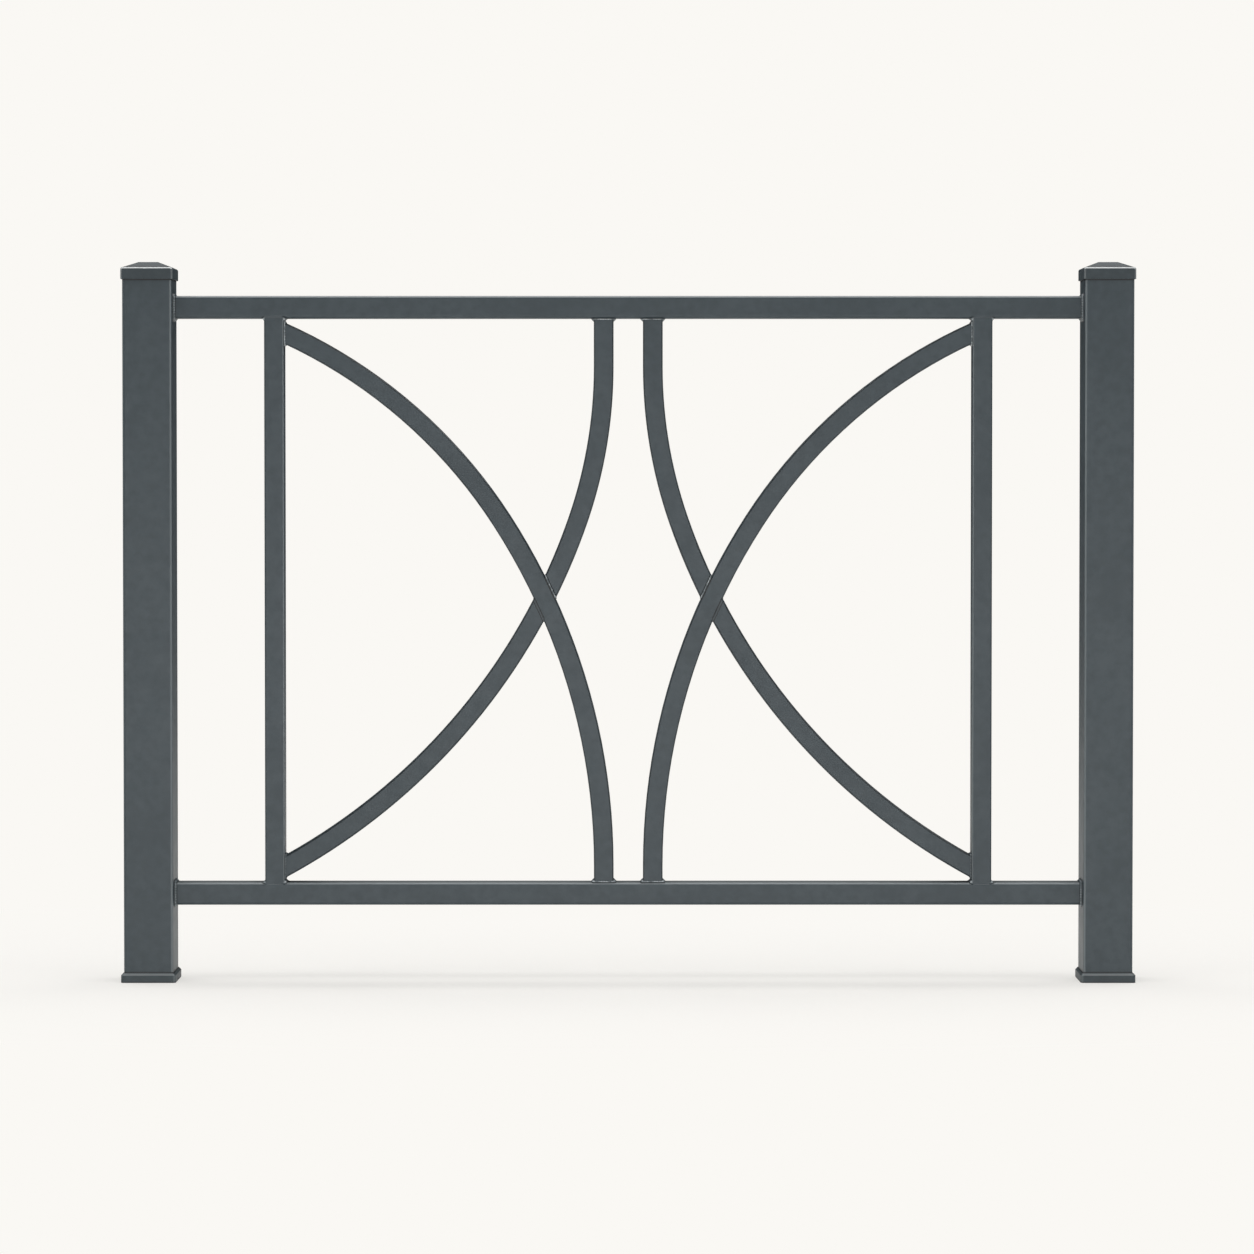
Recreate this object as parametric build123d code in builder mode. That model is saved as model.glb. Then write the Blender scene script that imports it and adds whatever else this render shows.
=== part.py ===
from build123d import *
from math import asin, atan2, cos, degrees, hypot, pi, radians, sin, sqrt, tan
import os

# Street barrier: a welded steel railing panel between two square posts.
# Row frame: origin at the centre of the left foot's underside, on the ground.
# +X runs along the panel to the right post, +Y to the back, +Z up. Millimetres.

# Panel
post_spacing = 1365.0       # left post axis to right post axis
overall_height = 1024.5     # ground to the flat top of a cap

# Posts: square tube
post_width = 70.0
post_wall = 3.0
post_corner = 4.0

# Feet: a low chamfered shoe that each post stands in
foot_overhang = 4.0         # beyond each post face
foot_side_height = 10.3     # upright edge, below the chamfer
foot_chamfer_rise = 3.4
foot_floor = 4.0            # thickness under the post's end
foot_corner = 5.0
foot_clearance = 0.2        # between the post and the socket wall
foot_lip = 0.6              # flat ledge left between the chamfer and the post

# Caps: a skirt over the post's end, under a low hipped roof
cap_wall = 2.0
cap_clearance = 0.2         # between the post and the skirt
cap_skirt_height = 15.8
cap_grip = 12.0             # how far the skirt reaches down the post
cap_roof_rise = 9.0
cap_flat_top = 28.0         # side of the flat square at the top
cap_corner = 3.5
cap_edge_round = 3.0        # rolled edge where the skirt meets the roof
cap_roof_thickness = 2.5

# Rails: square tube between the posts
rail_width = 32.0
rail_wall = 2.0
rail_corner = 4.0
top_rail_drop = 48.0        # a cap's flat top down to the top rail
bottom_rail_bottom = 108.5  # above the ground

# Pickets and bows: tubes of one width, the pickets as deep as the rails
bar_width = 28.0
bar_wall = 2.0
bar_corner = 2.5            # outer corner radius of pickets and bows
picket_spacing = 1008.0     # left picket axis to right picket axis

# Bows: each leaves its rail upright, bends at two radii and ends on a picket
bow_spacing = 70.0          # axis to axis, where the bows meet a rail
change_drop = 287.2         # top rail down to the height where each bow's radius changes
through_lead = 23.6         # straight length on the bottom rail
through_low_radius = 908.0  # below the change; the radius above it follows from the ends
through_end_drop = 20.5     # top rail down to the bow's axis on the picket
cut_lead = 68.5             # straight length under the top rail
cut_high_radius = 668.0     # above the change; the radius below it follows from the ends
cut_end_rise = 22.0         # bottom rail up to the bow's axis on the picket

# Welds: a fillet all round each joint, dressed flat in front and behind
rail_weld_leg = 4.5         # around a rail's end, on the post
bar_weld_leg = 4.2          # around the end of a picket or bow
weld_toe = 0.4              # thickness left at the thin edge of a bead
bow_weld_stand = 1.4        # how far it stands out from a bow's face, on a rail or picket
crossing_weld_stand = 0.7   # the same at the crossing, where the bars are flush
crossing_weld_root = 3.0    # how deep it fills beside the through bow's rounded corner

# Derived values
middle = post_spacing / 2
post_inner_face = post_width / 2
top_rail_top = overall_height - top_rail_drop
top_rail_bottom = top_rail_top - rail_width
top_rail_axis = top_rail_top - rail_width / 2
bottom_rail_top = bottom_rail_bottom + rail_width
bottom_rail_axis = bottom_rail_bottom + rail_width / 2
picket_x = middle - picket_spacing / 2
picket_inner_face = picket_x + bar_width / 2
bow_x = middle - bow_spacing / 2
foot_width = post_width + 2 * foot_overhang
foot_height = foot_side_height + foot_chamfer_rise
foot_socket = post_width + 2 * foot_clearance
cap_socket = post_width + 2 * cap_clearance
cap_width = cap_socket + 2 * cap_wall
cap_bottom = overall_height - cap_roof_rise - cap_skirt_height
post_top = cap_bottom + cap_grip
cap_skirt_top = cap_bottom + cap_skirt_height
bow_weld_depth = bar_width + 2 * bow_weld_stand
crossing_weld_depth = bar_width + 2 * crossing_weld_stand
panel_middle = Plane.YZ.offset(middle)

# Each bow is two bends, one after the other. The second one starts in the direction in
# which the first ends and has to reach the picket, and that chord fixes its radius.
change_height = top_rail_bottom - change_drop
past_the_face = radians(1.5)  # each bow is drawn this much too long, then trimmed

through_turn = asin((change_height - bottom_rail_top - through_lead) / through_low_radius)
through_change_x = bow_x - through_low_radius * (1 - cos(through_turn))
through_end_z = top_rail_bottom - through_end_drop
through_chord_x = through_change_x - picket_inner_face
through_chord_z = through_end_z - change_height
through_half_turn = atan2(through_chord_x, through_chord_z) - through_turn
through_high_radius = hypot(through_chord_x, through_chord_z) / (2 * sin(through_half_turn))
through_end = through_turn + 2 * through_half_turn

cut_turn = asin((top_rail_bottom - cut_lead - change_height) / cut_high_radius)
cut_change_x = bow_x - cut_high_radius * (1 - cos(cut_turn))
cut_end_z = bottom_rail_top + cut_end_rise
cut_chord_x = cut_change_x - picket_inner_face
cut_chord_z = change_height - cut_end_z
cut_half_turn = atan2(cut_chord_x, cut_chord_z) - cut_turn
cut_low_radius = hypot(cut_chord_x, cut_chord_z) / (2 * sin(cut_half_turn))
cut_end = cut_turn + 2 * cut_half_turn

# Crossing: where the circles of the two lower bends meet, on the side of the middle
through_centre = Vector(bow_x - through_low_radius, bottom_rail_top + through_lead)
cut_centre = Vector(cut_change_x - cut_low_radius * cos(cut_turn), change_height + cut_low_radius * sin(cut_turn))
between = cut_centre - through_centre
along = (between.length**2 + through_low_radius**2 - cut_low_radius**2) / (2 * between.length)
aside = sqrt(through_low_radius**2 - along**2)
toward = between.normalized()
crossing_point = through_centre + toward * along + Vector(toward.Y, -toward.X) * aside
through_slope = asin((crossing_point.Y - through_centre.Y) / through_low_radius)
cut_slope = asin((cut_centre.Y - crossing_point.Y) / cut_low_radius)
crossing_angle = through_slope + cut_slope


def tube_section(width, depth, wall, corner):
    """Tube section with rounded corners, for the sketch it is called in."""
    RectangleRounded(width, depth, corner)
    Rectangle(width - 2 * wall, depth - 2 * wall, mode=Mode.SUBTRACT)


def bent_bar(centre_line, section):
    """Bar along a line of runs and bends: each run is extruded and each bend revolved."""
    with BuildPart() as bar:
        for edge in centre_line.edges():
            start = edge @ 0
            ahead = edge % 0
            with BuildSketch(Plane(origin=start, x_dir=(0, 1, 0), z_dir=ahead)):
                section()
            if edge.geom_type == GeomType.LINE:
                extrude(amount=edge.length)
            else:
                spin = (start - edge.arc_center).cross(ahead)
                revolve(axis=Axis(edge.arc_center, spin), revolution_arc=degrees(edge.length / edge.radius))
    return bar.part


def bar_tube():
    """Section of the bows."""
    tube_section(bar_width, bar_width, bar_wall, bar_corner)


def bar_outline():
    """The same section without its hollow, to trim neighbours and welds with."""
    RectangleRounded(bar_width, bar_width, bar_corner)


def bar_track():
    """The same section with square corners: a bar that butts on its flat side."""
    Rectangle(bar_width, bar_width)


def bead(seat, length, depth, leg, root, face_to_face):
    """Fillet around a bar's end: wide on its seat, thin along the bar, flat front and back."""
    with BuildPart() as ring:
        with BuildSketch(seat):
            Rectangle(length + 2 * leg, depth + 2 * leg)
        extrude(amount=leg - weld_toe, taper=45)
        with BuildSketch(seat):
            Rectangle(length + 2 * leg, depth + 2 * leg)
        extrude(amount=-root)
        with BuildSketch(seat.offset(-root)):
            Rectangle(length + 2 * leg, face_to_face)
        extrude(amount=root + leg, mode=Mode.INTERSECT)
    return ring.part


# Left post, mirrored to the right
with BuildPart() as post_left:
    with BuildSketch(Plane.XY.offset(foot_floor)):
        tube_section(post_width, post_width, post_wall, post_corner)
    extrude(amount=post_top - foot_floor)

with BuildPart() as post_right:
    mirror(post_left.part, about=panel_middle)

# Left foot, mirrored to the right
with BuildPart() as foot_left:
    with BuildSketch(Plane.XY):
        RectangleRounded(foot_width, foot_width, foot_corner)
    extrude(amount=foot_height)
    top_face = foot_left.faces().sort_by(Axis.Z)[-1]
    chamfer(top_face.edges(), length=foot_overhang - foot_clearance - foot_lip,
            length2=foot_chamfer_rise, reference=top_face)
    with BuildSketch(Plane.XY.offset(foot_floor)):
        RectangleRounded(foot_socket, foot_socket, post_corner + foot_clearance)
    extrude(amount=foot_height, mode=Mode.SUBTRACT)

with BuildPart() as foot_right:
    mirror(foot_left.part, about=panel_middle)

# Left cap, mirrored to the right
with BuildPart() as cap_left:
    with BuildSketch(Plane.XY.offset(cap_bottom)):
        RectangleRounded(cap_width, cap_width, cap_corner)
    extrude(amount=cap_skirt_height)
    with BuildSketch(Plane.XY.offset(cap_skirt_top)):
        RectangleRounded(cap_width, cap_width, cap_corner)
    with BuildSketch(Plane.XY.offset(cap_skirt_top + cap_roof_rise)):
        RectangleRounded(cap_flat_top, cap_flat_top, cap_corner / 2)
    loft()
    fillet(cap_left.edges().filter_by_position(Axis.Z, cap_skirt_top - 0.1, cap_skirt_top + 0.1), cap_edge_round)
    with BuildSketch(Plane.XY.offset(cap_bottom)):
        RectangleRounded(cap_socket, cap_socket, post_corner + cap_clearance)
    extrude(amount=cap_grip, mode=Mode.SUBTRACT)
    with BuildSketch(Plane.XY.offset(post_top)):
        Rectangle(post_width - 2 * post_wall, post_width - 2 * post_wall)
    with BuildSketch(Plane.XY.offset(overall_height - cap_roof_thickness)):
        Rectangle(cap_flat_top, cap_flat_top)
    loft(mode=Mode.SUBTRACT)

with BuildPart() as cap_right:
    mirror(cap_left.part, about=panel_middle)

# Rails
with BuildPart() as top_rail:
    with BuildSketch(Plane.YZ.offset(post_inner_face)):
        with Locations((0, top_rail_axis)):
            tube_section(rail_width, rail_width, rail_wall, rail_corner)
    extrude(amount=post_spacing - post_width)

with BuildPart() as bottom_rail:
    with BuildSketch(Plane.YZ.offset(post_inner_face)):
        with Locations((0, bottom_rail_axis)):
            tube_section(rail_width, rail_width, rail_wall, rail_corner)
    extrude(amount=post_spacing - post_width)

# Left picket, mirrored to the right
with BuildPart() as picket_left:
    with BuildSketch(Plane.XY.offset(bottom_rail_top)):
        with Locations((picket_x, 0)):
            tube_section(bar_width, rail_width, bar_wall, bar_corner)
    extrude(amount=top_rail_bottom - bottom_rail_top)

with BuildPart() as picket_right:
    mirror(picket_left.part, about=panel_middle)

# Centre lines of the two left bows
with BuildLine(Plane.XZ) as through_line:
    lead = Line((bow_x, bottom_rail_top), (bow_x, bottom_rail_top + through_lead))
    low_bend = JernArc(lead @ 1, lead % 1, through_low_radius, degrees(through_turn))
    JernArc(low_bend @ 1, low_bend % 1, through_high_radius,
            degrees(through_end - through_turn + past_the_face))

with BuildLine(Plane.XZ) as cut_line:
    lead = Line((bow_x, top_rail_bottom), (bow_x, top_rail_bottom - cut_lead))
    high_bend = JernArc(lead @ 1, lead % 1, cut_high_radius, -degrees(cut_turn))
    JernArc(high_bend @ 1, high_bend % 1, cut_low_radius,
            -degrees(cut_end - cut_turn + past_the_face))

# Each bow as a tube, and as a full bar to trim neighbours and welds with
through_bow = bent_bar(through_line, bar_tube)
through_outline = bent_bar(through_line, bar_outline)
through_track = bent_bar(through_line, bar_track)
cut_bow = bent_bar(cut_line, bar_tube)
cut_outline = bent_bar(cut_line, bar_outline)

# Plane along the through bow at the crossing, facing up and to the middle
crossing = Plane(
    origin=(crossing_point.X, 0, crossing_point.Y),
    x_dir=(-sin(through_slope), 0, cos(through_slope)),
    z_dir=(cos(through_slope), 0, sin(through_slope)),
)

# Left through bow: in one piece from the bottom rail to the picket
with BuildPart() as through_bow_left:
    add(through_bow)
    split(bisect_by=Plane.YZ.offset(picket_inner_face), keep=Keep.TOP)

with BuildPart() as through_bow_right:
    mirror(through_bow_left.part, about=panel_middle)

# Left cut bow: the upper piece runs from the top rail to the through bow
with BuildPart() as cut_bow_upper_left:
    add(cut_bow)
    split(bisect_by=crossing, keep=Keep.TOP)
    add(through_track, mode=Mode.SUBTRACT)

with BuildPart() as cut_bow_upper_right:
    mirror(cut_bow_upper_left.part, about=panel_middle)

# The lower piece runs on from the through bow to the picket
with BuildPart() as cut_bow_lower_left:
    add(cut_bow)
    split(bisect_by=crossing, keep=Keep.BOTTOM)
    split(bisect_by=Plane.YZ.offset(picket_inner_face), keep=Keep.TOP)
    add(through_track, mode=Mode.SUBTRACT)

with BuildPart() as cut_bow_lower_right:
    mirror(cut_bow_lower_left.part, about=panel_middle)

# Rail welds on the posts
with BuildPart() as weld_top_rail_left:
    with BuildSketch(Plane.YZ.offset(post_inner_face)):
        with Locations((0, top_rail_axis)):
            RectangleRounded(rail_width + 2 * rail_weld_leg, rail_width + 2 * rail_weld_leg,
                             rail_corner + rail_weld_leg)
    extrude(amount=rail_weld_leg - weld_toe, taper=45)
    with BuildSketch(Plane.YZ.offset(post_inner_face)):
        with Locations((0, top_rail_axis)):
            RectangleRounded(rail_width, rail_width, rail_corner)
    extrude(amount=rail_weld_leg, mode=Mode.SUBTRACT)

with BuildPart() as weld_top_rail_right:
    mirror(weld_top_rail_left.part, about=panel_middle)

with BuildPart() as weld_bottom_rail_left:
    with Locations((0, 0, bottom_rail_axis - top_rail_axis)):
        add(weld_top_rail_left.part)

with BuildPart() as weld_bottom_rail_right:
    mirror(weld_bottom_rail_left.part, about=panel_middle)

# Outlines of the straight tubes, to trim the welds with
with BuildPart() as top_rail_outline:
    with BuildSketch(Plane.YZ.offset(post_inner_face)):
        with Locations((0, top_rail_axis)):
            RectangleRounded(rail_width, rail_width, rail_corner)
    extrude(amount=post_spacing - post_width)

with BuildPart() as bottom_rail_outline:
    with BuildSketch(Plane.YZ.offset(post_inner_face)):
        with Locations((0, bottom_rail_axis)):
            RectangleRounded(rail_width, rail_width, rail_corner)
    extrude(amount=post_spacing - post_width)

with BuildPart() as picket_outline:
    with BuildSketch(Plane.XY.offset(bottom_rail_top)):
        with Locations((picket_x, 0)):
            RectangleRounded(bar_width, rail_width, bar_corner)
    extrude(amount=top_rail_bottom - bottom_rail_top)

# Welds at the two ends of the left picket
picket_top_seat = Plane(origin=(picket_x, 0, top_rail_bottom), x_dir=(1, 0, 0), z_dir=(0, 0, -1))
picket_bottom_seat = Plane(origin=(picket_x, 0, bottom_rail_top), x_dir=(1, 0, 0), z_dir=(0, 0, 1))

with BuildPart() as weld_picket_top_left:
    add(bead(picket_top_seat, bar_width, rail_width, bar_weld_leg, rail_corner, rail_width))
    add(top_rail_outline.part, mode=Mode.SUBTRACT)
    add(picket_outline.part, mode=Mode.SUBTRACT)

with BuildPart() as weld_picket_top_right:
    mirror(weld_picket_top_left.part, about=panel_middle)

with BuildPart() as weld_picket_bottom_left:
    add(bead(picket_bottom_seat, bar_width, rail_width, bar_weld_leg, rail_corner, rail_width))
    add(bottom_rail_outline.part, mode=Mode.SUBTRACT)
    add(picket_outline.part, mode=Mode.SUBTRACT)

with BuildPart() as weld_picket_bottom_right:
    mirror(weld_picket_bottom_left.part, about=panel_middle)

# Welds where the left bows meet the rails
cut_bow_seat = Plane(origin=(bow_x, 0, top_rail_bottom), x_dir=(1, 0, 0), z_dir=(0, 0, -1))
through_bow_seat = Plane(origin=(bow_x, 0, bottom_rail_top), x_dir=(1, 0, 0), z_dir=(0, 0, 1))

with BuildPart() as weld_bow_top_left:
    add(bead(cut_bow_seat, bar_width, bar_width, bar_weld_leg, rail_corner, bow_weld_depth))
    add(top_rail_outline.part, mode=Mode.SUBTRACT)
    add(cut_outline, mode=Mode.SUBTRACT)

with BuildPart() as weld_bow_top_right:
    mirror(weld_bow_top_left.part, about=panel_middle)

with BuildPart() as weld_bow_bottom_left:
    add(bead(through_bow_seat, bar_width, bar_width, bar_weld_leg, rail_corner, bow_weld_depth))
    add(bottom_rail_outline.part, mode=Mode.SUBTRACT)
    add(through_outline, mode=Mode.SUBTRACT)

with BuildPart() as weld_bow_bottom_right:
    mirror(weld_bow_bottom_left.part, about=panel_middle)

# Welds where the left bows meet the picket
through_lean = pi / 2 - through_end
cut_lean = pi / 2 - cut_end
through_picket_seat = Plane(origin=(picket_inner_face, 0, through_end_z), x_dir=(0, 0, -1), z_dir=(1, 0, 0))
cut_picket_seat = Plane(origin=(picket_inner_face, 0, cut_end_z), x_dir=(0, 0, 1), z_dir=(1, 0, 0))

with BuildPart() as weld_picket_through_left:
    add(bead(through_picket_seat, bar_width / cos(through_lean), bar_width, bar_weld_leg,
             bar_corner, bow_weld_depth))
    add(picket_outline.part, mode=Mode.SUBTRACT)
    add(through_outline, mode=Mode.SUBTRACT)
    add(weld_picket_top_left.part, mode=Mode.SUBTRACT)
    split(bisect_by=Plane.XY.offset(top_rail_bottom), keep=Keep.BOTTOM)

with BuildPart() as weld_picket_through_right:
    mirror(weld_picket_through_left.part, about=panel_middle)

with BuildPart() as weld_picket_cut_left:
    add(bead(cut_picket_seat, bar_width / cos(cut_lean), bar_width, bar_weld_leg,
             bar_corner, bow_weld_depth))
    add(picket_outline.part, mode=Mode.SUBTRACT)
    add(cut_outline, mode=Mode.SUBTRACT)
    add(weld_picket_bottom_left.part, mode=Mode.SUBTRACT)
    split(bisect_by=Plane.XY.offset(bottom_rail_top), keep=Keep.TOP)

with BuildPart() as weld_picket_cut_right:
    mirror(weld_picket_cut_left.part, about=panel_middle)

# Welds on both sides of the through bow, at the crossing
crossing_lean = pi / 2 - crossing_angle
crossing_shift = bar_width / 2 * tan(crossing_lean)
upper_crossing_seat = Plane(
    origin=crossing.from_local_coords((crossing_shift, 0, bar_width / 2)),
    x_dir=crossing.x_dir,
    z_dir=crossing.z_dir,
)
lower_crossing_seat = Plane(
    origin=crossing.from_local_coords((-crossing_shift, 0, -bar_width / 2)),
    x_dir=-crossing.x_dir,
    z_dir=-crossing.z_dir,
)

with BuildPart() as weld_crossing_upper_left:
    add(bead(upper_crossing_seat, bar_width / cos(crossing_lean), bar_width, bar_weld_leg,
             crossing_weld_root, crossing_weld_depth))
    add(through_outline, mode=Mode.SUBTRACT)
    add(cut_outline, mode=Mode.SUBTRACT)

with BuildPart() as weld_crossing_upper_right:
    mirror(weld_crossing_upper_left.part, about=panel_middle)

with BuildPart() as weld_crossing_lower_left:
    add(bead(lower_crossing_seat, bar_width / cos(crossing_lean), bar_width, bar_weld_leg,
             crossing_weld_root, crossing_weld_depth))
    add(through_outline, mode=Mode.SUBTRACT)
    add(cut_outline, mode=Mode.SUBTRACT)

with BuildPart() as weld_crossing_lower_right:
    mirror(weld_crossing_lower_left.part, about=panel_middle)

# Names and files
os.makedirs("parts", exist_ok=True)

post_left.part.label = "post_left"
export_step(post_left.part, "parts/post_left.step")

post_right.part.label = "post_right"
export_step(post_right.part, "parts/post_right.step")

foot_left.part.label = "foot_left"
export_step(foot_left.part, "parts/foot_left.step")

foot_right.part.label = "foot_right"
export_step(foot_right.part, "parts/foot_right.step")

cap_left.part.label = "cap_left"
export_step(cap_left.part, "parts/cap_left.step")

cap_right.part.label = "cap_right"
export_step(cap_right.part, "parts/cap_right.step")

top_rail.part.label = "top_rail"
export_step(top_rail.part, "parts/top_rail.step")

bottom_rail.part.label = "bottom_rail"
export_step(bottom_rail.part, "parts/bottom_rail.step")

picket_left.part.label = "picket_left"
export_step(picket_left.part, "parts/picket_left.step")

picket_right.part.label = "picket_right"
export_step(picket_right.part, "parts/picket_right.step")

through_bow_left.part.label = "through_bow_left"
export_step(through_bow_left.part, "parts/through_bow_left.step")

through_bow_right.part.label = "through_bow_right"
export_step(through_bow_right.part, "parts/through_bow_right.step")

cut_bow_upper_left.part.label = "cut_bow_upper_left"
export_step(cut_bow_upper_left.part, "parts/cut_bow_upper_left.step")

cut_bow_upper_right.part.label = "cut_bow_upper_right"
export_step(cut_bow_upper_right.part, "parts/cut_bow_upper_right.step")

cut_bow_lower_left.part.label = "cut_bow_lower_left"
export_step(cut_bow_lower_left.part, "parts/cut_bow_lower_left.step")

cut_bow_lower_right.part.label = "cut_bow_lower_right"
export_step(cut_bow_lower_right.part, "parts/cut_bow_lower_right.step")

weld_top_rail_left.part.label = "weld_top_rail_left"
export_step(weld_top_rail_left.part, "parts/weld_top_rail_left.step")

weld_top_rail_right.part.label = "weld_top_rail_right"
export_step(weld_top_rail_right.part, "parts/weld_top_rail_right.step")

weld_bottom_rail_left.part.label = "weld_bottom_rail_left"
export_step(weld_bottom_rail_left.part, "parts/weld_bottom_rail_left.step")

weld_bottom_rail_right.part.label = "weld_bottom_rail_right"
export_step(weld_bottom_rail_right.part, "parts/weld_bottom_rail_right.step")

weld_picket_top_left.part.label = "weld_picket_top_left"
export_step(weld_picket_top_left.part, "parts/weld_picket_top_left.step")

weld_picket_top_right.part.label = "weld_picket_top_right"
export_step(weld_picket_top_right.part, "parts/weld_picket_top_right.step")

weld_picket_bottom_left.part.label = "weld_picket_bottom_left"
export_step(weld_picket_bottom_left.part, "parts/weld_picket_bottom_left.step")

weld_picket_bottom_right.part.label = "weld_picket_bottom_right"
export_step(weld_picket_bottom_right.part, "parts/weld_picket_bottom_right.step")

weld_bow_top_left.part.label = "weld_bow_top_left"
export_step(weld_bow_top_left.part, "parts/weld_bow_top_left.step")

weld_bow_top_right.part.label = "weld_bow_top_right"
export_step(weld_bow_top_right.part, "parts/weld_bow_top_right.step")

weld_bow_bottom_left.part.label = "weld_bow_bottom_left"
export_step(weld_bow_bottom_left.part, "parts/weld_bow_bottom_left.step")

weld_bow_bottom_right.part.label = "weld_bow_bottom_right"
export_step(weld_bow_bottom_right.part, "parts/weld_bow_bottom_right.step")

weld_picket_through_left.part.label = "weld_picket_through_left"
export_step(weld_picket_through_left.part, "parts/weld_picket_through_left.step")

weld_picket_through_right.part.label = "weld_picket_through_right"
export_step(weld_picket_through_right.part, "parts/weld_picket_through_right.step")

weld_picket_cut_left.part.label = "weld_picket_cut_left"
export_step(weld_picket_cut_left.part, "parts/weld_picket_cut_left.step")

weld_picket_cut_right.part.label = "weld_picket_cut_right"
export_step(weld_picket_cut_right.part, "parts/weld_picket_cut_right.step")

weld_crossing_upper_left.part.label = "weld_crossing_upper_left"
export_step(weld_crossing_upper_left.part, "parts/weld_crossing_upper_left.step")

weld_crossing_upper_right.part.label = "weld_crossing_upper_right"
export_step(weld_crossing_upper_right.part, "parts/weld_crossing_upper_right.step")

weld_crossing_lower_left.part.label = "weld_crossing_lower_left"
export_step(weld_crossing_lower_left.part, "parts/weld_crossing_lower_left.step")

weld_crossing_lower_right.part.label = "weld_crossing_lower_right"
export_step(weld_crossing_lower_right.part, "parts/weld_crossing_lower_right.step")
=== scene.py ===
from math import cos, pi, radians, sin

import bmesh
import bpy
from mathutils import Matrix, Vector


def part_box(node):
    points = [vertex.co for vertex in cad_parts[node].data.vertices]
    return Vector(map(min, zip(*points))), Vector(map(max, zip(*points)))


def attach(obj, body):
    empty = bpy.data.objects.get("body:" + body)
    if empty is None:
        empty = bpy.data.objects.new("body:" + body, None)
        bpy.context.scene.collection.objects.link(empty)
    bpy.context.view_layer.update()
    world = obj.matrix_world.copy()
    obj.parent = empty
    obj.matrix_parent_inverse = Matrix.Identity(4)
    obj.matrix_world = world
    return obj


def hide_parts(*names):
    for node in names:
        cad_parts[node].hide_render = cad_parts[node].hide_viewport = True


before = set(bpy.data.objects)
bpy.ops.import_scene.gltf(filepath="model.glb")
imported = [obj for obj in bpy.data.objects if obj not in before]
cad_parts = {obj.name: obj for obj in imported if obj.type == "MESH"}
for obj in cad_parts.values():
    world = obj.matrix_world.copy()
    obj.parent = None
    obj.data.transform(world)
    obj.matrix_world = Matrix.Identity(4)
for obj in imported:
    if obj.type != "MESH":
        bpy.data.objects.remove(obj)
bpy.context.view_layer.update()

MM = 0.001

# Sizes read from the solids
rail_low, rail_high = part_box("top_rail")
base_low, base_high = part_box("bottom_rail")
picket_low, picket_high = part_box("picket_left")
bow_low, bow_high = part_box("weld_bow_bottom_left")
cap_low, cap_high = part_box("cap_left")
foot_low, foot_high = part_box("foot_left")
upper_low, upper_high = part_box("weld_crossing_upper_left")
lower_low, lower_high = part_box("weld_crossing_lower_left")

MIDDLE = (rail_low.x + rail_high.x) / 2
RAIL_HALF = (rail_high.z - rail_low.z) / 2
BAR_HALF = (picket_high.x - picket_low.x) / 2
POST_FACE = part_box("post_left")[1].x        # the inner face, where the rails end
PICKET_X = (picket_low.x + picket_high.x) / 2
PICKET_FACE = picket_high.x                 # the inner face, where the bows end
BOW_X = (bow_low.x + bow_high.x) / 2        # of a bow's end on a rail
RAIL_BOTTOM = rail_low.z
BASE_TOP = base_high.z
CROSSING = (upper_low + upper_high + lower_low + lower_high) / 4

# Sizes that the boxes don't show
RAIL_CORNER = 4.0 * MM
BAR_CORNER = 2.5 * MM
ROOF_RISE = 9 * MM                          # from a cap's skirt to its flat top
THROUGH_LEAN = radians(24.4)                # from square, where the through bow meets the picket
CUT_LEAN = radians(28.7)                    # the same for the cut bow
THROUGH_DROP = 20.5 * MM                    # from the top rail down to the through bow's middle there
CUT_RISE = 22.0 * MM                        # from the bottom rail up to the cut bow's
CROSS_SLOPE = radians(24.9)                 # of the through bow from upright at the crossing
CROSS_LEAN = radians(38.3)                  # from square, where the cut bow meets the through bow


# Materials

# Sockets of a Mix node that mixes colours
AMOUNT, UNDER, OVER, MIXED = 0, 6, 7, 2


def linear(code):
    """Linear colour of an sRGB hex code."""
    parts = [int(code[i:i + 2], 16) / 255 for i in (1, 3, 5)]
    return tuple(p / 12.92 if p <= 0.04045 else ((p + 0.055) / 1.055) ** 2.4 for p in parts) + (1,)


def node(tree, kind, settings=None, links=None):
    """Adds a node. The settings are properties or socket values, the links are socket sources, and
    a socket goes by its name or number."""
    made = tree.nodes.new(kind)
    for key, value in (settings or {}).items():
        if isinstance(key, int) or key in made.inputs:
            made.inputs[key].default_value = value
        else:
            setattr(made, key, value)
    for key, source in (links or {}).items():
        tree.links.new(source, made.inputs[key])
    return made


def tone(material, amount, code):
    """Blends a colour over the one that a material has so far."""
    tree = material.node_tree
    base = tree.nodes["Principled BSDF"].inputs["Base Color"]
    blend = node(tree, "ShaderNodeMix", {"data_type": "RGBA", OVER: linear(code)},
                 {AMOUNT: amount, UNDER: base.links[0].from_socket})
    tree.links.new(blend.outputs[MIXED], base)


def painted_shade_line(material, level, half, amount):
    """Blends a dark level line of painted shade, of a height above the floor and a half width, over a
    material.
    """
    tree = material.node_tree
    surface = node(tree, "ShaderNodeNewGeometry")
    height = node(tree, "ShaderNodeSeparateXYZ", links={"Vector": surface.outputs["Position"]}).outputs["Z"]
    above = node(tree, "ShaderNodeMapRange",
                 {"From Min": level - 1.4 * half, "From Max": level - 0.8 * half}, {"Value": height})
    below = node(tree, "ShaderNodeMapRange",
                 {"From Min": level + 1.4 * half, "From Max": level + 0.8 * half, "To Max": amount},
                 {"Value": height})
    line = node(tree, "ShaderNodeMath", {"operation": "MULTIPLY"},
                {0: above.outputs["Result"], 1: below.outputs["Result"]})
    tone(material, line.outputs["Value"], "#0E1214")


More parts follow.
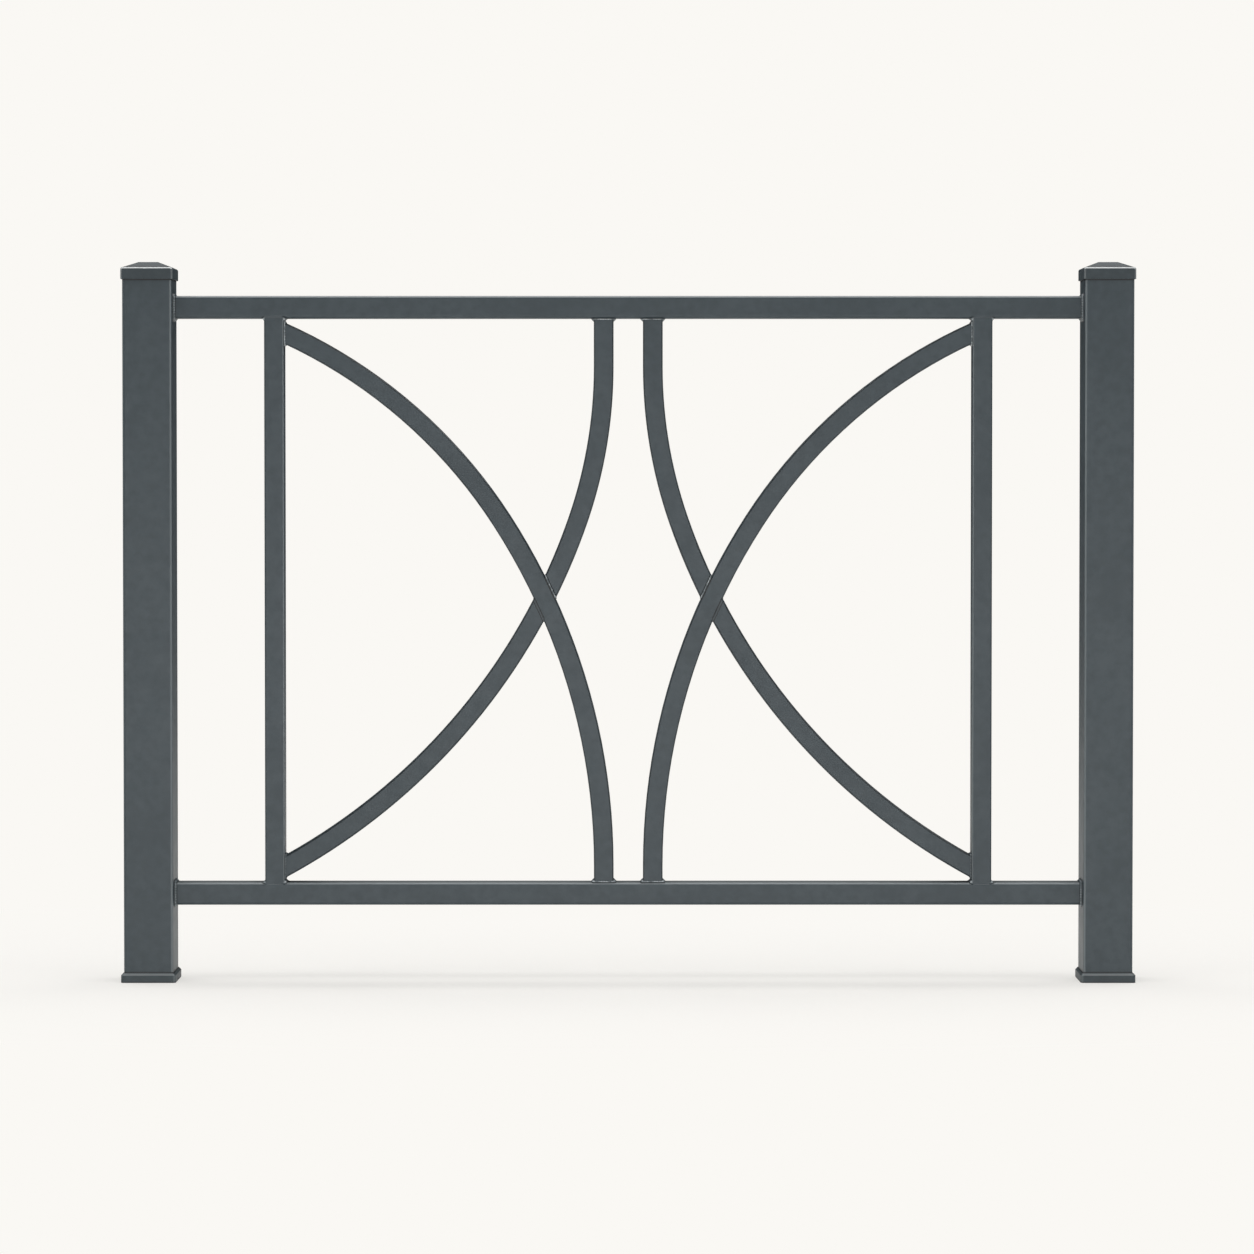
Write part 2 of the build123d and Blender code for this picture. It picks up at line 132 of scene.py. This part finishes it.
def powder_coat(name, light, dark, roughness, peel, painted_top_colour, painted_top_amount, bright, painted_edge_amount, inner, upper, low):
    """Powder coat on steel: orange peel of a depth, slight gloss changes, painted light and shade on
    what faces up, and rounded edges painted another colour, a painted highlight where it is pale and
    painted shade where it is dark. inner and upper are how much more the edges are painted towards the
    middle of the barrier and on top, and low is the sum of the two from which it starts."""
    material = bpy.data.materials.new(name)
    material.use_nodes = True
    tree = material.node_tree
    shader = tree.nodes["Principled BSDF"]
    shader.inputs["IOR"].default_value = 1.5
    place = node(tree, "ShaderNodeTexCoord").outputs["Object"]

    # Colour: two close greys, changing over about 150 mm and again over about 12 mm
    broad = node(tree, "ShaderNodeTexNoise",
                 {"Scale": 1 / (154 * MM), "Detail": 4.0, "Roughness": 0.6}, {"Vector": place})
    fine = node(tree, "ShaderNodeTexNoise", {"Scale": 1 / (12.5 * MM), "Detail": 3.0}, {"Vector": place})
    both = node(tree, "ShaderNodeMath", {"operation": "MULTIPLY"},
                {0: broad.outputs["Fac"], 1: fine.outputs["Fac"]})
    spread = node(tree, "ShaderNodeMapRange", {"From Min": 0.15, "From Max": 0.35},
                  {"Value": both.outputs["Value"]})
    tint = node(tree, "ShaderNodeMix", {"data_type": "RGBA", UNDER: linear(dark), OVER: linear(light)},
                {AMOUNT: spread.outputs["Result"]})
    tree.links.new(tint.outputs[MIXED], shader.inputs["Base Color"])

    # Painted light and shade on what faces up: paler on the tubes, welds and feet, darker on the bent bars
    # and caps
    surface = node(tree, "ShaderNodeNewGeometry")
    facing = node(tree, "ShaderNodeSeparateXYZ", links={"Vector": surface.outputs["Normal"]})
    painted_top_mask = node(tree, "ShaderNodeMapRange", {"From Min": 0.45, "From Max": 0.9, "To Max": painted_top_amount},
                  {"Value": facing.outputs["Z"]})
    tone(material, painted_top_mask.outputs["Result"], painted_top_colour)

    # Painted highlights on the roundings beside the front and back, painted shade where the edge colour is
    # dark, most where they face up or inward
    depth = node(tree, "ShaderNodeMath", {"operation": "ABSOLUTE"}, {0: facing.outputs["Y"]})
    rise = node(tree, "ShaderNodeMapRange", {"From Min": 0.38, "From Max": 0.55},
                {"Value": depth.outputs["Value"]})
    fall = node(tree, "ShaderNodeMapRange", {"From Min": 0.99, "From Max": 0.93},
                {"Value": depth.outputs["Value"]})
    edge = node(tree, "ShaderNodeMath", {"operation": "MULTIPLY"},
                {0: rise.outputs["Result"], 1: fall.outputs["Result"]})
    spot = node(tree, "ShaderNodeSeparateXYZ", links={"Vector": surface.outputs["Position"]})
    side = node(tree, "ShaderNodeMapRange",
                {"From Min": MIDDLE - 0.2, "From Max": MIDDLE + 0.2, "To Min": inner, "To Max": -inner},
                {"Value": spot.outputs["X"]})
    on_top = node(tree, "ShaderNodeMath", {"operation": "MULTIPLY", 1: upper}, {0: facing.outputs["Z"]})
    total = node(tree, "ShaderNodeMath", {"operation": "MULTIPLY_ADD"},
                 {0: side.outputs["Result"], 1: facing.outputs["X"], 2: on_top.outputs["Value"]})
    share = node(tree, "ShaderNodeMapRange", {"From Min": low, "From Max": 0.6, "To Max": painted_edge_amount},
                 {"Value": total.outputs["Value"]})
    painted_edge_mask = node(tree, "ShaderNodeMath", {"operation": "MULTIPLY"},
                  {0: edge.outputs["Value"], 1: share.outputs["Result"]})
    tone(material, painted_edge_mask.outputs["Value"], bright)

    # Gloss changes softly over about 20 mm
    cloud = node(tree, "ShaderNodeTexNoise", {"Scale": 1 / (20 * MM), "Detail": 2.0}, {"Vector": place})
    gloss = node(tree, "ShaderNodeMapRange", {"To Min": roughness - 0.05, "To Max": roughness + 0.07},
                 {"Value": cloud.outputs["Fac"]})
    tree.links.new(gloss.outputs["Result"], shader.inputs["Roughness"])

    # Orange peel about 2.5 mm across
    grain = node(tree, "ShaderNodeTexNoise",
                 {"Scale": 1 / (2.5 * MM), "Detail": 2.0, "Roughness": 0.45}, {"Vector": place})
    bump = node(tree, "ShaderNodeBump", {"Strength": 1.0, "Distance": peel},
                {"Height": grain.outputs["Fac"]})
    tree.links.new(bump.outputs["Normal"], shader.inputs["Normal"])
    return material


# Satin polyester powder coat, sprayed and baked, anthracite grey, on the posts, rails and pickets:
# smooth and even, painted highlights on the edges and on what faces up, painted shade under the caps and
# over the feet
coat = powder_coat(
    "powder_coat_anthracite", light="#3E494F", dark="#364147", roughness=0.42, peel=0.05 * MM,
    painted_top_colour="#8C8F8E", painted_top_amount=0.45, bright="#8A9194", painted_edge_amount=0.85, inner=0.5, upper=0.9, low=-0.2)
# Painted shade: dark lines on the posts just under the caps' skirts and just over the feet
painted_shade_line(coat, cap_low.z - 0.9 * MM, 1.0 * MM, 0.85)
painted_shade_line(coat, foot_high.z + 0.6 * MM, 0.9 * MM, 0.7)

# The same coat on the bent bars, with painted shade on the edge roundings and on what faces up
bow_coat = powder_coat(
    "powder_coat_bent_bar", light="#3E494F", dark="#364147", roughness=0.42, peel=0.05 * MM,
    painted_top_colour="#20262A", painted_top_amount=0.5, bright="#181D1F", painted_edge_amount=0.75, inner=0.0, upper=1.0, low=-1.4)

# The same coat over a weld: glossier, painted highlights on the crests of the ripples, painted shade along
# the toes, faint painted highlights on edges and tops
weld_coat = powder_coat(
    "powder_coat_over_weld", light="#3E494F", dark="#364147", roughness=0.38, peel=0.08 * MM,
    painted_top_colour="#8C8F8E", painted_top_amount=0.15, bright="#8A9194", painted_edge_amount=0.3, inner=0.5, upper=0.15, low=-0.2)
tree = weld_coat.node_tree
crest = node(tree, "ShaderNodeAttribute", {"attribute_name": "crest"}).outputs["Fac"]
toes = node(tree, "ShaderNodeMapRange", {"From Min": 0.5, "From Max": 0.0, "To Max": 0.95},
            {"Value": crest})
tops = node(tree, "ShaderNodeMapRange", {"From Min": 0.5, "From Max": 0.9}, {"Value": crest})
# The painted highlights on the crests come and go over about 8 mm
place = node(tree, "ShaderNodeTexCoord").outputs["Object"]
patches = node(tree, "ShaderNodeTexNoise", {"Scale": 1 / (8 * MM), "Detail": 1.0}, {"Vector": place})
shown = node(tree, "ShaderNodeMapRange",
             {"From Min": 0.38, "From Max": 0.58, "To Min": 0.15, "To Max": 0.9},
             {"Value": patches.outputs["Fac"]})
pale = node(tree, "ShaderNodeMath", {"operation": "MULTIPLY"},
            {0: tops.outputs["Result"], 1: shown.outputs["Result"]})
# Painted shade along the toes, then painted highlights on the crests
tone(weld_coat, toes.outputs["Result"], "#0A0D0E")
tone(weld_coat, pale.outputs["Value"], "#B2B9BC")

# The same coat on the pressed caps: a painted highlight around the rounded top of the skirt, painted
# shade on what faces up, and a line of painted shade along the foot of the roof
cap_coat = powder_coat(
    "powder_coat_pressed_cap", light="#3A4449", dark="#323C41", roughness=0.46, peel=0.05 * MM,
    painted_top_colour="#30383B", painted_top_amount=0.6, bright="#D2D5D6", painted_edge_amount=1.0, inner=0.0, upper=1.0, low=-0.12)
# Painted shade along the foot of the roof
painted_shade_line(cap_coat, cap_high.z - ROOF_RISE + 2.0 * MM, 0.8 * MM, 0.9)

# The same coat on the cast feet: a little darker and grainier, with painted highlights on the chamfer and
# edges
foot_coat = powder_coat(
    "powder_coat_cast_foot", light="#3A454A", dark="#323C41", roughness=0.44, peel=0.10 * MM,
    painted_top_colour="#8C8F8E", painted_top_amount=0.25, bright="#7D8486", painted_edge_amount=0.7, inner=0.5, upper=0.6, low=-0.2)
# Painted shade along the ground and where the post stands in the foot
painted_shade_line(foot_coat, foot_low.z, 1.3 * MM, 0.6)
painted_shade_line(foot_coat, foot_high.z, 0.7 * MM, 0.7)

for name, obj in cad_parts.items():
    finish = coat
    if name.startswith("cap"):
        finish = cap_coat
    elif name.startswith("foot"):
        finish = foot_coat
    elif name.startswith("weld"):
        finish = weld_coat
    elif "bow" in name:
        finish = bow_coat
    for slot in obj.material_slots:
        slot.material = finish


# Weld beads, in place of the plain ones of the CAD. Each is a surface of rings around the end of
# a bar: v runs from 0 on the neighbour to 1 on the bar.

SPACING = 0.8 * MM   # between points along a bead
ACROSS = 10          # faces from one edge of a bead to the other
SUNK = 0.15 * MM     # how far the edges of a bead run into the steel
PITCH = 3.6 * MM     # from one ripple to the next
SWELL = 5.3 * MM     # how fast the whole bead grows and shrinks along its way
DRIFT = 17 * MM      # over which that itself changes

# Sides of a bead: width on the neighbour, height on the bar, depth below the seat
FILLET = (4.2 * MM, 4.2 * MM, SUNK)          # leg on each part
SHORT = (3.2 * MM, 3.2 * MM, SUNK)           # in a narrow corner
TUCKED = (0.9 * MM, 0.9 * MM, SUNK)          # at a crossing, where the bead is short
FRONT = (1.3 * MM, 2.6 * MM, SUNK)           # front and back of a bead on a wider part
FLUSH = (-0.05 * MM, 4.2 * MM, 3.9 * MM)     # dressed flush in front and behind
LEVEL = (-0.1 * MM, 3.0 * MM, 2.4 * MM)      # over the seam of two bars that are level


def ring(half_wide, half_deep, corner):
    """Points around a rounded rectangle, evenly spaced: place, outward direction, length so far."""
    points = []
    along = 0.0
    quarter = corner * pi / 2
    for turn in range(4):
        side = 2 * ((half_deep if turn % 2 == 0 else half_wide) - corner)
        out = Vector((cos(turn * pi / 2), sin(turn * pi / 2)))
        ahead = Vector((-out.y, out.x))
        reach = half_wide if turn % 2 == 0 else half_deep
        steps = max(2, round(side / SPACING))
        for i in range(steps):
            spot = out * reach + ahead * (side * i / steps - side / 2)
            points.append((spot, out, along + side * i / steps))
        along += side
        centre = out * (reach - corner) + ahead * (side / 2)
        steps = max(3, round(quarter / SPACING))
        for i in range(steps):
            angle = turn * pi / 2 + pi / 2 * i / steps
            away = Vector((cos(angle), sin(angle)))
            points.append((centre + away * corner, away, along + quarter * i / steps))
        along += quarter
    return points


def bead(name, seat, up, half_deep, side, front, bulge, ripple, half_wide=BAR_HALF, corner=BAR_CORNER,
         lean=0.0, pinch=1, lift=0.0, painted_highlight=1.0, mirrored=False):
    """Weld bead around the end of a bar that stands on seat along up and leans by an angle.

    bulge and ripple are how far its middle stands out evenly and in ripples, pinch narrows its
    crest, lift holds the rest of it clear of the steel, and painted_highlight is how pale the crest is
    painted."""
    up = Vector(up)
    wide = Vector((up.z, 0, -up.x))
    mesh = bmesh.new()
    crest = mesh.verts.layers.float.new("crest")
    rows = []
    for spot, away, along in ring(half_wide, half_deep, corner):
        flat = away.x ** 2
        width, height, depth = (a * flat + b * (1 - flat) for a, b in zip(side, front))
        shown = flat if front == FLUSH else 1.0
        row = []
        for j in range(ACROSS + 1):
            v = j / ACROSS
            arch = sin(pi * v) ** pinch
            # Crescents that follow each other along the bead, and a slower swell of the whole bead
            wave = abs(sin(pi * (along / PITCH - 0.35 * arch)))
            swell = 0.5 + 0.5 * sin(along / SWELL + 3 * sin(along / DRIFT))
            raised = arch * (bulge + ripple * (wave - 0.7 + 0.4 * swell))
            h = -depth + (height + depth) * v + raised * 0.7
            w = width * (1 - v) - SUNK * v + raised * 0.7 + lift * (1 - (2 * v - 1) ** 8)
            point = Vector(seat) + up * h
            point += wide * (spot.x / cos(lean) + h * sin(lean) / cos(lean) + away.x * w)
            point += Vector((0, spot.y + away.y * w, 0))
            if mirrored:
                point.x = 2 * MIDDLE - point.x
            vert = mesh.verts.new(point)
            # For the coat: 0 is painted shade along a toe, 0.5 the plain colour and 1 a painted highlight on
            # a crest
            pale = painted_highlight * min(1.0, 1.4 * arch ** 2 * (0.5 + 0.5 * wave))
            vert[crest] = 0.5 + shown * (pale - 0.5)
            row.append(vert)
        rows.append(row)
    for first, second in zip(rows, rows[1:] + rows[:1]):
        for j in range(ACROSS):
            face = mesh.faces.new((first[j], second[j], second[j + 1], first[j + 1]))
            face.smooth = True
    bmesh.ops.recalc_face_normals(mesh, faces=mesh.faces)
    data = bpy.data.meshes.new(name)
    mesh.to_mesh(data)
    mesh.free()
    data.materials.append(weld_coat)
    piece = bpy.data.objects.new("bead_" + name, data)
    bpy.context.scene.collection.objects.link(piece)
    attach(piece, "root")
    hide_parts("weld_" + name)


ON_RAILS = (("_top", RAIL_BOTTOM, (0, 0, -1)), ("_bottom", BASE_TOP, (0, 0, 1)))
CROSS_UP = Vector((cos(CROSS_SLOPE), 0, sin(CROSS_SLOPE)))
CROSS_ALONG = Vector((-sin(CROSS_SLOPE), 0, cos(CROSS_SLOPE)))
CROSS_SEAT = CROSS_UP * BAR_HALF + CROSS_ALONG * BAR_HALF * sin(CROSS_LEAN) / cos(CROSS_LEAN)

for end, mirrored in (("_left", False), ("_right", True)):
    for rail, z in (("top_rail", rail_low.z + RAIL_HALF), ("bottom_rail", base_low.z + RAIL_HALF)):
        bead(rail + end, (POST_FACE, 0, z), (1, 0, 0), RAIL_HALF, FILLET, FILLET, 0.2 * MM, 0.5 * MM,
             half_wide=RAIL_HALF, corner=RAIL_CORNER, painted_highlight=0.65, mirrored=mirrored)
    for spot, z, up in ON_RAILS:
        bead("picket" + spot + end, (PICKET_X, 0, z), up, RAIL_HALF, FILLET, FLUSH,
             -0.7 * MM, 0.25 * MM, mirrored=mirrored)
    for spot, z, up in ON_RAILS:
        bead("bow" + spot + end, (BOW_X, 0, z), up, BAR_HALF, FILLET, FRONT,
             0.1 * MM, 0.5 * MM, mirrored=mirrored)
    bead("picket_through" + end, (PICKET_FACE, 0, RAIL_BOTTOM - THROUGH_DROP), (1, 0, 0), BAR_HALF,
         SHORT, FRONT, 0.1 * MM, 0.5 * MM, lean=THROUGH_LEAN, mirrored=mirrored)
    bead("picket_cut" + end, (PICKET_FACE, 0, BASE_TOP + CUT_RISE), (1, 0, 0), BAR_HALF,
         SHORT, FRONT, 0.0, 0.3 * MM, lean=-CUT_LEAN, painted_highlight=0.6, mirrored=mirrored)
    bead("crossing_upper" + end, CROSSING + CROSS_SEAT, CROSS_UP, BAR_HALF, TUCKED, LEVEL,
         1.0 * MM, 0.1 * MM, lean=-CROSS_LEAN, pinch=4, lift=0.3 * MM, mirrored=mirrored)
    bead("crossing_lower" + end, CROSSING - CROSS_SEAT, -CROSS_UP, BAR_HALF, TUCKED, LEVEL,
         0.3 * MM, 0.2 * MM, lean=-CROSS_LEAN, pinch=2, lift=0.2 * MM, painted_highlight=0.45, mirrored=mirrored)


# Floor, backdrop and light

PALE = "#FAF8F4"     # what the camera sees behind the barrier
STUDIO = 0.68        # the lamps and the floor stand around this x

floor_mesh = bmesh.new()
bmesh.ops.create_grid(floor_mesh, x_segments=1, y_segments=1, size=30)
floor_data = bpy.data.meshes.new("floor")
floor_mesh.to_mesh(floor_data)
floor_mesh.free()
floor = bpy.data.objects.new("floor", floor_data)
floor.location = (STUDIO, 0.0, -0.2 * MM)
bpy.context.scene.collection.objects.link(floor)

# Matt studio paper, pressed from pulp: pale and soft, and it runs on into the backdrop without a line
paper = bpy.data.materials.new("studio_paper")
paper.use_nodes = True
tree = paper.node_tree
shader = tree.nodes["Principled BSDF"]
shader.inputs["Roughness"].default_value = 0.9
shader.inputs["Specular IOR Level"].default_value = 0.1
place = node(tree, "ShaderNodeTexCoord").outputs["Object"]
# Fibres in bundles about 8 mm long, coarser than real ones so that they show
fibre = node(tree, "ShaderNodeTexNoise", {"Scale": 1 / (8.3 * MM), "Detail": 3.0}, {"Vector": place})
shade = node(tree, "ShaderNodeMix", {"data_type": "RGBA", UNDER: linear("#F9F7F3"), OVER: linear("#FDFBF7")},
             {AMOUNT: fibre.outputs["Fac"]})
tree.links.new(shade.outputs[MIXED], shader.inputs["Base Color"])
relief = node(tree, "ShaderNodeBump", {"Strength": 0.2, "Distance": 0.1 * MM},
              {"Height": fibre.outputs["Fac"]})
tree.links.new(relief.outputs["Normal"], shader.inputs["Normal"])
oval = node(tree, "ShaderNodeMapping", {"Location": (0.0, -0.15, 0.0), "Scale": (0.42, 1.0, 1.0)},
            {"Vector": place})
far = node(tree, "ShaderNodeVectorMath", {"operation": "LENGTH"}, {0: oval.outputs["Vector"]})
fade = node(tree, "ShaderNodeMapRange",
            {"interpolation_type": "SMOOTHSTEP", "From Min": 0.35, "From Max": 0.85, "To Min": 0.5},
            {"Value": far.outputs["Value"]})
seen = node(tree, "ShaderNodeLightPath").outputs["Is Camera Ray"]
blank = node(tree, "ShaderNodeMath", {"operation": "MULTIPLY"}, {0: fade.outputs["Result"], 1: seen})
glow = node(tree, "ShaderNodeEmission", {"Color": linear(PALE), "Strength": 1.0})
join = node(tree, "ShaderNodeMixShader", links={
    0: blank.outputs["Value"], 1: shader.outputs["BSDF"], 2: glow.outputs["Emission"]})
tree.links.new(join.outputs["Shader"], tree.nodes["Material Output"].inputs["Surface"])
floor_data.materials.append(paper)

# Backdrop: the camera sees the pale paper, everything else a dim room
world = bpy.data.worlds.new("studio")
bpy.context.scene.world = world
world.use_nodes = True
tree = world.node_tree
room = tree.nodes["Background"]
room.inputs["Color"].default_value = linear("#8E9194")
room.inputs["Strength"].default_value = 0.16
back = node(tree, "ShaderNodeBackground", {"Color": linear(PALE), "Strength": 1.0})
seen = node(tree, "ShaderNodeLightPath").outputs["Is Camera Ray"]
join = node(tree, "ShaderNodeMixShader", links={
    0: seen, 1: room.outputs["Background"], 2: back.outputs["Background"]})
tree.links.new(join.outputs["Shader"], tree.nodes["World Output"].inputs["Surface"])


def softbox(name, place, target, size, power):
    """Rectangular area light aimed at a point, not seen by the camera."""
    data = bpy.data.lights.new(name, "AREA")
    data.shape = "RECTANGLE"
    data.size, data.size_y = size
    data.energy = power
    lamp = bpy.data.objects.new(name, data)
    lamp.location = place
    lamp.rotation_euler = (Vector(target) - Vector(place)).to_track_quat("-Z", "Y").to_euler()
    lamp.visible_camera = False
    bpy.context.scene.collection.objects.link(lamp)


softbox("overhead", (STUDIO, 0.3, 4.6), (STUDIO, 0.0, 0.0), (7.0, 6.0), 315)
softbox("front_fill", (STUDIO, -4.2, 0.4), (STUDIO, 0.0, 0.3), (4.5, 0.8), 46)
softbox("left_wall", (STUDIO - 3.88, -0.2, 1.0), (STUDIO - 0.38, 0.0, 0.6), (3.0, 2.0), 26)
softbox("right_wall", (STUDIO + 3.88, -0.2, 1.0), (STUDIO + 0.38, 0.0, 0.6), (3.0, 2.0), 26)

# Camera: the photo's view, fitted to the barrier's corners
camera_data = bpy.data.cameras.new("camera")
camera_data.lens = 114.67
camera_data.sensor_width = 36.0
camera_data.shift_y = -0.0499
camera = bpy.data.objects.new("camera", camera_data)
camera.location = (0.6807, -5.7009, 0.7322)
camera.rotation_euler = (radians(90 - 1.387), 0, 0)
bpy.context.scene.collection.objects.link(camera)
bpy.context.scene.camera = camera

bpy.context.scene.view_settings.view_transform = "Standard"
